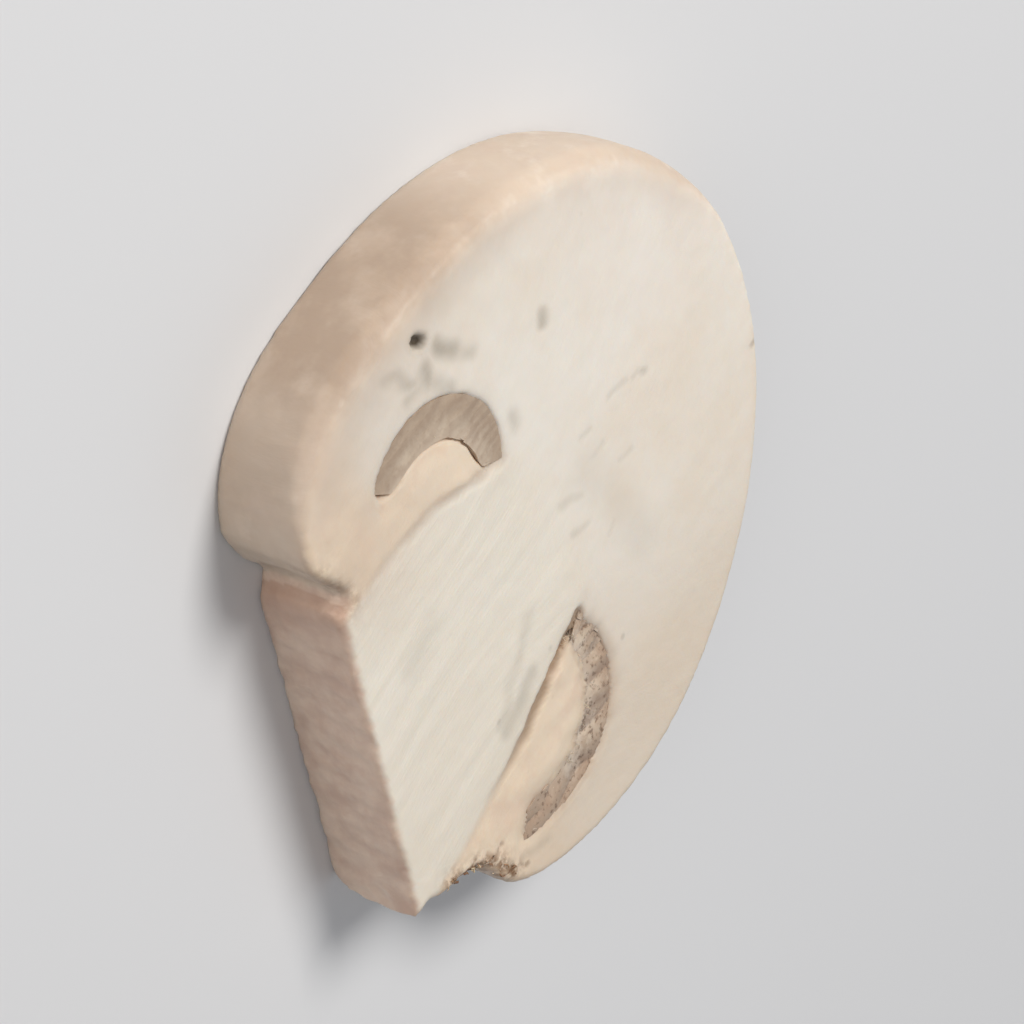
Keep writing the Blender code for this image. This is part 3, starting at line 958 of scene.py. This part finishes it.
def makeGillTree():
    tree, given = newShapeTree("gillRow", (
        ("Count", "Int"), ("First Angle", "Float"), ("Pitch", "Float"), ("Jitter", "Float"),
        ("Seed", "Int"), ("Material", "Material"),
    ))
    line = addNode(tree, "GeometryNodeMeshLine", {"Count": given["Count"], "Offset": (0, 0, 0)})
    index = tree.nodes.new("GeometryNodeInputIndex").outputs[0]
    turned = calc(tree, "MULTIPLY", index, given["Pitch"])
    turned = calc(tree, "ADD", turned, given["First Angle"])
    least = calc(tree, "MULTIPLY", given["Jitter"], -1.0)
    draw = addNode(tree, "FunctionNodeRandomValue", {"Seed": given["Seed"]}, data_type="FLOAT")
    tree.links.new(least, draw.inputs[2])
    tree.links.new(given["Jitter"], draw.inputs[3])
    turned = calc(tree, "ADD", turned, draw.outputs[1])
    turn = addNode(tree, "ShaderNodeCombineXYZ", {2: turned}).outputs[0]
    spin = addNode(tree, "FunctionNodeEulerToRotation", {0: turn}).outputs[0]
    row = addNode(
        tree, "GeometryNodeInstanceOnPoints",
        {"Points": line.outputs[0], "Instance": given["Geometry"], "Rotation": spin},
    )
    named = addNode(
        tree, "GeometryNodeStoreNamedAttribute", {"Geometry": row.outputs[0], "Name": "gillIndex"},
        data_type="INT", domain="INSTANCE",
    )
    tree.links.new(index, named.inputs["Value"])
    return finishShapeTree(tree, named.outputs[0], given["Material"])


gillLook = {
    "left": {
        "flank": srgb(198, 178, 156),
        "shade": srgb(182, 160, 139),
        "edge": srgb(211, 191, 169),
        "root": srgb(176, 153, 131),
        "dark": srgb(150, 124, 102),
        "fleck": 0.2,
        "tipShade": 0.0,  # darker towards the margin end
        "scatter": 0.15,
    },
    "right": {
        "flank": srgb(214, 192, 170),
        "shade": srgb(182, 155, 133),
        "edge": srgb(222, 200, 180),
        "root": srgb(176, 148, 126),
        "dark": srgb(104, 78, 58),
        "fleck": 0.75,
        "tipShade": 0.85,
        "scatter": 0.35,
    },
    "roughness": 0.62,
    "scatterReach": (1.0, 0.72, 0.55),
    "scatterScale": 0.8 * mm,
}


def makeGillMaterial(side):
    look = gillLook[side]
    material = bpy.data.materials.new("mushroom_gills_" + side)
    material.use_nodes = True
    tree = material.node_tree
    shader = tree.nodes["Principled BSDF"]
    place = addNode(tree, "ShaderNodeTexCoord").outputs["Object"]

    def near(name, start, full, strength):  # rises from nothing at the start to its strength
        given = {0: maskOf(tree, name), 1: start, 2: full, 4: strength}
        return addNode(tree, "ShaderNodeMapRange", given).outputs[0]

    cloud = useGroup(tree, softBlotches, {"Place": place, "Size": 1.2, "From": 0.38, "To": 0.62})[0]
    fleck = useGroup(tree, softBlotches, {"Place": place, "Size": 0.34, "From": 0.50, "To": 0.68})[0]
    colour = mixColour(tree, cloud, look["flank"], look["shade"])
    colour = mixColour(tree, near("acrossShare", 0.6, 0.05, 0.65), colour, look["root"])
    colour = mixColour(tree, near("acrossShare", 0.45, 0.95, 0.6), colour, look["edge"])
    colour = mixColour(tree, near("fromMargin", 0.9, 0.1, look["tipShade"]), colour, look["root"])
    colour = mixColour(tree, calc(tree, "MULTIPLY", fleck, look["fleck"]), colour, look["dark"])
    tree.links.new(colour, shader.inputs["Base Color"])
    grain = addNode(tree, "ShaderNodeTexNoise", {"Vector": place, "Scale": 3200.0, "Detail": 4.0}).outputs[0]
    bump = addNode(tree, "ShaderNodeBump", {"Height": grain, "Strength": 0.5, "Distance": 0.05 * mm})
    tree.links.new(bump.outputs[0], shader.inputs["Normal"])
    shader.inputs["Roughness"].default_value = gillLook["roughness"]
    shader.inputs["Subsurface Weight"].default_value = look["scatter"]
    shader.inputs["Subsurface Radius"].default_value = gillLook["scatterReach"]
    shader.inputs["Subsurface Scale"].default_value = gillLook["scatterScale"]
    return material


def cutFlat(mesh, level, keepAbove):
    body = bmesh.new()
    body.from_mesh(mesh)
    cut = bmesh.ops.bisect_plane(
        body, geom=body.verts[:] + body.edges[:] + body.faces[:], dist=1e-6,
        plane_co=(0, 0, level), plane_no=(0, 0, -1 if keepAbove else 1), clear_outer=True,
    )
    rim = [item for item in cut["geom_cut"] if isinstance(item, bmesh.types.BMEdge)]
    bmesh.ops.holes_fill(body, edges=rim, sides=0)
    body.to_mesh(mesh)
    body.free()


def makeGills(side, middle, way, seed, material):
    row = gillRow
    pitch = row["pitch"][side]
    count = round((row["last"] - row["first"]) / pitch)
    name = "fine_gills_" + side
    draft = addObject(name + "_draft", gillBlade(side))
    modifier = draft.modifiers.new("row", "NODES")
    modifier.node_group = gillTree
    setInputs(modifier, {
        "Count": count, "First Angle": middle + way * row["first"], "Pitch": way * pitch,
        "Jitter": row["jitter"], "Seed": seed, "Material": material,
    })
    mesh = evaluatedMesh(draft)
    bpy.data.objects.remove(draft)
    order = np.empty(len(mesh.vertices), dtype=np.int32)
    mesh.attributes["gillIndex"].data.foreach_get("value", order)
    points = readPoints(mesh)
    centre, reach = growth["pocketCentre"], growth["pocketReach"]
    radius = np.hypot(points[:, 0], points[:, 1])
    azimuth = np.arctan2(points[:, 1], points[:, 0])
    height = points[:, 2]

    # Shorter gills stand between the long ones and fade out before the stem; every gill waves a little
    angle = np.arctan2((height - centre[1]) / reach[1], (radius - centre[0]) / reach[0])
    inset = reach[0] * (1 - np.hypot((radius - centre[0]) / reach[0], (height - centre[1]) / reach[1]))
    full = growth["pocketDepth"] * pocketFill(angle) + row["tuck"][side]
    share = np.clip(inset / full, -0.3, 1)
    turns = np.radians(row["reach"][side])
    end = turns[order % len(turns)]
    past, before = row["reachBlur"]
    fray = row["fray"] * noiseAt(order[:, None] * (3.7, 0.0, 0.0), 1.0, seed)
    keep = row["stub"] + (1 - row["stub"]) * smooth(end + past, end + before, angle + fray)
    alongGill = np.stack([angle * 3.0, order * 3.3, order * 0.0], axis=1)
    ripple = 1 + row["ripple"] * noiseAt(alongGill, 1.0, seed)
    newInset = np.where(inset > 0, inset * keep * ripple, inset)
    newInset = np.minimum(newInset, full)
    radius = centre[0] + (reach[0] - newInset) * np.cos(angle)
    height = centre[1] + (reach[1] - newInset) * np.sin(angle)
    downGill = np.stack([radius, height, order * 0.12], axis=1)
    azimuth = azimuth + row["waviness"] * noiseAt(downGill, 2.4, seed + 3)

    toward = np.cos(azimuth)
    top = centre[1] + reach[1]
    swell = 1 + growth["pocketSwell"] * toward
    radius = centre[0] + (radius - centre[0]) * swell
    height = top + (height - top) * swell
    points = toRow(radius * np.cos(azimuth), radius * np.sin(azimuth), height)
    storeMask(mesh, "acrossShare", share)
    storeMask(mesh, "fromMargin", angle - growth["pocketFrom"])
    writePoints(mesh, points)
    cutFlat(mesh, faceLevel - row["recess"], keepAbove=False)
    cutFlat(mesh, row["recess"], keepAbove=True)
    points = readPoints(mesh)
    order = np.empty(len(mesh.vertices), dtype=np.int32)
    mesh.attributes["gillIndex"].data.foreach_get("value", order)
    drop = row["unevenCut"][side] * np.random.default_rng(seed).random(count)[order]
    points[:, 2] -= drop * (points[:, 2] > faceLevel - row["recess"] - 0.01)
    points[:, 2] += drop * (points[:, 2] < row["recess"] + 0.01)
    writePoints(mesh, points * mm)
    mesh.materials.clear()
    mesh.materials.append(material)
    mesh.shade_smooth()
    mesh.set_sharp_from_angle(angle=row["sharpFrom"])
    gills = addObject(name, mesh)
    print("stage:", name, len(mesh.polygons), "faces")
    return gills


gillTree = makeGillTree()
for side, middle, way, seed in (("right", 0.0, 1, 11), ("left", math.pi, -1, 23)):
    gills = makeGills(side, middle, way, seed, makeGillMaterial(side))
    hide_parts("gills_" + side)
    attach(gills, "root")


# Loose fibres: veil threads in the gill pockets and rags at the torn margin
fibreSets = [
    {
        "name": "veil_threads", "zone": "webZone", "density": 7.0e6, "length": 0.7, "slimness": 0.024,
        "curl": 0.35, "flatness": 1.0, "tilt": 1.1, "seed": 5, "colour": srgb(226, 206, 180),
    },
    {
        "name": "torn_rags_brown", "zone": "tornAndShadeZone", "density": 3.4e6, "length": 0.46, "slimness": 0.2,
        "curl": 0.35, "flatness": 0.28, "tilt": 1.35, "seed": 8, "colour": srgb(146, 114, 86),
    },
    {
        "name": "torn_rags_cream", "zone": "tornAndShadeZone", "density": 2.6e6, "length": 0.5, "slimness": 0.18,
        "curl": 0.35, "flatness": 0.28, "tilt": 1.35, "seed": 21, "colour": srgb(222, 198, 168),
    },
]
fibreShape = {
    "kinds": 3,  # curled shapes to choose from
    "points": 7,
    "sides": 4,
    "sway": 1.3,
    "shortest": 0.35,  # share of the full length
    "darker": 0.72,  # the darker blotches, as a share of the colour
    "roughness": 0.6,
    "scatter": 0.2,
    "scatterScale": 0.4 * mm,
    "aboveBoard": 0.02,  # mm
    "overFace": 0.12,
}


def curledFibre(tree, given, variant):  # one fibre, a unit long, that stands up along Z
    shape = fibreShape
    line = addNode(tree, "GeometryNodeCurvePrimitiveLine", {"Start": (0, 0, 0), "End": (0, 0, 1)})
    bent = addNode(tree, "GeometryNodeResampleCurve", {"Curve": line.outputs[0], "Count": shape["points"]})
    place = tree.nodes.new("GeometryNodeInputPosition").outputs[0]
    along = addNode(tree, "ShaderNodeSeparateXYZ", {0: place}).outputs["Z"]
    sway = addNode(
        tree, "ShaderNodeTexNoise",
        {"W": along, "Scale": shape["sway"], "Detail": 0.0, "Vector": (variant * 7.3, 0, 0)},
        noise_dimensions="4D",
    ).outputs["Color"]
    centred = addNode(tree, "ShaderNodeVectorMath", {0: sway, 1: (0.5, 0.5, 0.5)}, operation="SUBTRACT")
    reach = calc(tree, "MULTIPLY", calc(tree, "MULTIPLY", along, given["Curl"]), 3.0)
    offset = addNode(tree, "ShaderNodeVectorMath", {0: centred.outputs[0], "Scale": reach}, operation="SCALE")
    moved = addNode(
        tree, "GeometryNodeSetPosition", {"Geometry": bent.outputs[0], "Offset": offset.outputs[0]},
    )
    ring = addNode(tree, "GeometryNodeCurvePrimitiveCircle", {"Resolution": shape["sides"], "Radius": 1.0})
    thin = calc(tree, "MULTIPLY", given["Slimness"], given["Flatness"])
    squash = addNode(tree, "ShaderNodeCombineXYZ", {0: given["Slimness"], 1: thin, 2: 1.0})
    profile = addNode(
        tree, "GeometryNodeTransform", {"Geometry": ring.outputs[0], "Scale": squash.outputs[0]},
    )
    solid = addNode(
        tree, "GeometryNodeCurveToMesh",
        {"Curve": moved.outputs[0], "Profile Curve": profile.outputs[0], "Fill Caps": True},
    )
    return addNode(tree, "GeometryNodeGeometryToInstance", {0: solid.outputs[0]}).outputs[0]


def makeFibreTree():
    tree, given = newShapeTree("looseFibres", (
        ("Zone", "String"), ("Density", "Float"), ("Length", "Float"), ("Slimness", "Float"),
        ("Curl", "Float"), ("Flatness", "Float"), ("Tilt", "Float"), ("Seed", "Int"), ("Material", "Material"),
    ))
    zone = addNode(tree, "GeometryNodeInputNamedAttribute", {"Name": given["Zone"]}, data_type="FLOAT")
    strong = calc(tree, "POWER", zone.outputs[0], 4.0)
    density = calc(tree, "MULTIPLY", strong, given["Density"])
    spread = addNode(
        tree, "GeometryNodeDistributePointsOnFaces",
        {"Mesh": given["Geometry"], "Density": density, "Seed": given["Seed"]},
    )
    kinds = tree.nodes.new("GeometryNodeJoinGeometry")
    for variant in range(fibreShape["kinds"]):
        tree.links.new(curledFibre(tree, given, variant), kinds.inputs[0])
    upright = addNode(
        tree, "FunctionNodeAlignRotationToVector",
        {"Rotation": spread.outputs["Rotation"], "Vector": spread.outputs["Normal"]}, axis="Z",
    )
    least = calc(tree, "MULTIPLY", given["Tilt"], -1.0)
    lowTurn = addNode(tree, "ShaderNodeCombineXYZ", {0: least, 1: least, 2: -3.14}).outputs[0]
    highTurn = addNode(tree, "ShaderNodeCombineXYZ", {0: given["Tilt"], 1: given["Tilt"], 2: 3.14}).outputs[0]
    draw = addNode(
        tree, "FunctionNodeRandomValue", {0: lowTurn, 1: highTurn, "Seed": given["Seed"]},
        data_type="FLOAT_VECTOR",
    )
    lean = addNode(tree, "FunctionNodeEulerToRotation", {0: draw.outputs[0]})
    turned = addNode(
        tree, "FunctionNodeRotateRotation", {0: upright.outputs[0], 1: lean.outputs[0]},
        rotation_space="LOCAL",
    )
    size = addNode(
        tree, "FunctionNodeRandomValue", {2: fibreShape["shortest"], 3: 1.0, "Seed": given["Seed"]},
        data_type="FLOAT",
    )
    scale = calc(tree, "MULTIPLY", size.outputs[1], given["Length"])
    placed = addNode(
        tree, "GeometryNodeInstanceOnPoints",
        {
            "Points": spread.outputs["Points"], "Instance": kinds.outputs[0], "Pick Instance": True,
            "Rotation": turned.outputs[0], "Scale": scale,
        },
    )
    return finishShapeTree(tree, placed.outputs[0], given["Material"])


def makeFibreMaterial(name, colour):
    material = bpy.data.materials.new(name)
    material.use_nodes = True
    tree = material.node_tree
    shader = tree.nodes["Principled BSDF"]
    place = addNode(tree, "ShaderNodeTexCoord").outputs["Object"]
    cloud = useGroup(tree, softBlotches, {"Place": place, "Size": 0.8, "From": 0.35, "To": 0.65})[0]
    dark = tuple(value * fibreShape["darker"] for value in colour[:3]) + (1,)
    tree.links.new(mixColour(tree, cloud, colour, dark), shader.inputs["Base Color"])
    shader.inputs["Roughness"].default_value = fibreShape["roughness"]
    shader.inputs["Subsurface Weight"].default_value = fibreShape["scatter"]
    shader.inputs["Subsurface Scale"].default_value = fibreShape["scatterScale"]
    return material


def makeLooseFibres(setting):
    draft = addObject(setting["name"] + "_draft", flesh.data.copy())
    modifier = draft.modifiers.new("fibres", "NODES")
    modifier.node_group = fibreTree
    setInputs(modifier, {
        "Zone": setting["zone"], "Density": setting["density"], "Length": setting["length"] * mm,
        "Slimness": setting["slimness"], "Curl": setting["curl"], "Flatness": setting["flatness"],
        "Tilt": setting["tilt"], "Seed": setting["seed"],
        "Material": makeFibreMaterial(setting["name"], setting["colour"]),
    })
    mesh = evaluatedMesh(draft)
    bpy.data.objects.remove(draft)
    points = readPoints(mesh)
    lowest, highest = fibreShape["aboveBoard"] * mm, (faceLevel + fibreShape["overFace"]) * mm
    points[:, 2] = np.clip(points[:, 2], lowest, highest)
    writePoints(mesh, points)
    mesh.shade_smooth()
    print("stage:", setting["name"], len(mesh.polygons), "faces")
    return addObject(setting["name"], mesh)


fibreTree = makeFibreTree()
for setting in fibreSets:
    fibres = makeLooseFibres(setting)
    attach(fibres, "root")
